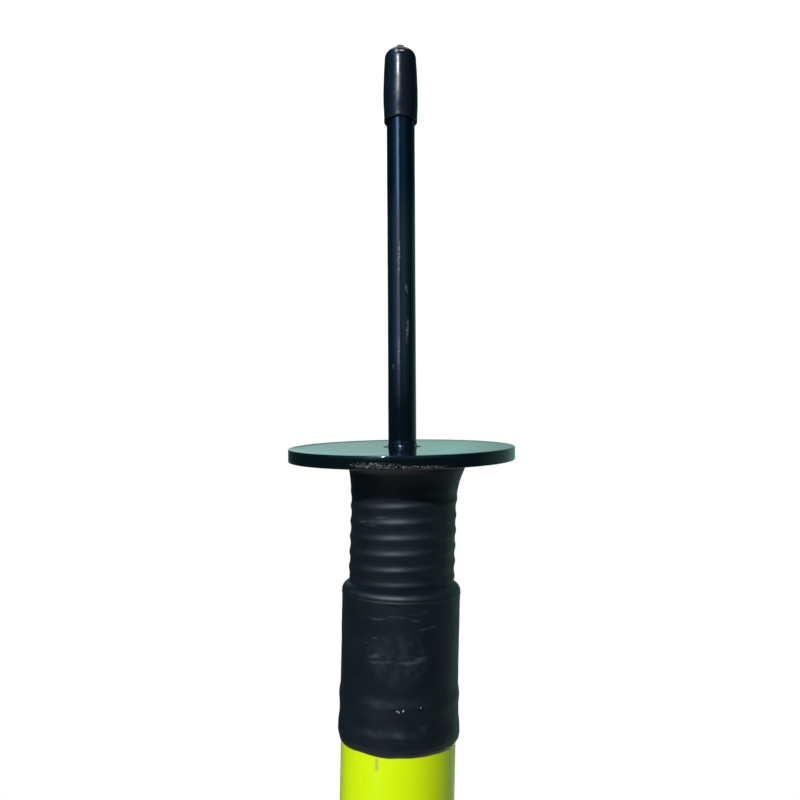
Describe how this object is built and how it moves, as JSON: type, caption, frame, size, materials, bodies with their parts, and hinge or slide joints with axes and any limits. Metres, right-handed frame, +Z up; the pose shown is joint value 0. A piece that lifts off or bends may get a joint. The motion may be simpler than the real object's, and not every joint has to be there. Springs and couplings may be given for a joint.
{
  "type": "corner flag",
  "caption": "Football corner flag: capped ground spike, round stop plate, sleeved spring foot, plastic pole and a plain flag on a closed pocket.",
  "frame": {"origin": "centre of the ground plate's lower face, at turf level", "axes": "+Z up along the pole, -Z down along the spike; +X along the flag's fly at rest"},
  "size_m": [0.4395, 0.079, 1.6571],
  "materials": {
    "black_steel": "gloss",
    "black_vinyl": "gloss",
    "spring_steel": "satin",
    "rivet_alloy": "satin",
    "shrink_sleeve": "satin",
    "yellow_plastic": "gloss",
    "black_plastic": "satin",
    "flag_cloth": "matte"
  },
  "bodies": {
    "foot": {"ground_plate": "black_steel", "spike": "black_steel", "spike_weld": "black_steel", "tenon_weld": "black_steel", "spring_boss": "black_steel", "foot_weld": "black_steel"},
    "cap": {"spike_cap": "black_vinyl"},
    "neck": {"spring": "spring_steel"},
    "pole": {"spring_plug": "black_steel", "plug_rivets": "rivet_alloy", "pole_tube": "yellow_plastic", "top_cap": "black_plastic", "shrink_sleeve": "shrink_sleeve"},
    "flag": {"flag_pocket": "flag_cloth", "flag_cloth": "flag_cloth"}
  },
  "joints": [
    {"name": "cap_pull", "type": "slide", "parent": "foot", "child": "cap", "axis": [0, 0, -1], "range_m": [0, 0.3]},
    {"name": "lean_x", "type": "hinge", "parent": "foot", "child": "neck", "pos_m": [0, 0, 0.026], "axis": [1, 0, 0], "range_deg": [-30, 30], "stiffness_Nm_per_rad": 8, "deforming": ["spring", "shrink_sleeve"]},
    {"name": "lean_y", "type": "hinge", "parent": "neck", "child": "pole", "pos_m": [0, 0, 0.026], "axis": [0, 1, 0], "range_deg": [-30, 30], "stiffness_Nm_per_rad": 8, "deforming": ["spring", "shrink_sleeve"]},
    {"name": "flag_swivel", "type": "hinge", "parent": "pole", "child": "flag", "pos_m": [0, 0, 1.5], "axis": [0, 0, 1], "continuous": true}
  ]
}
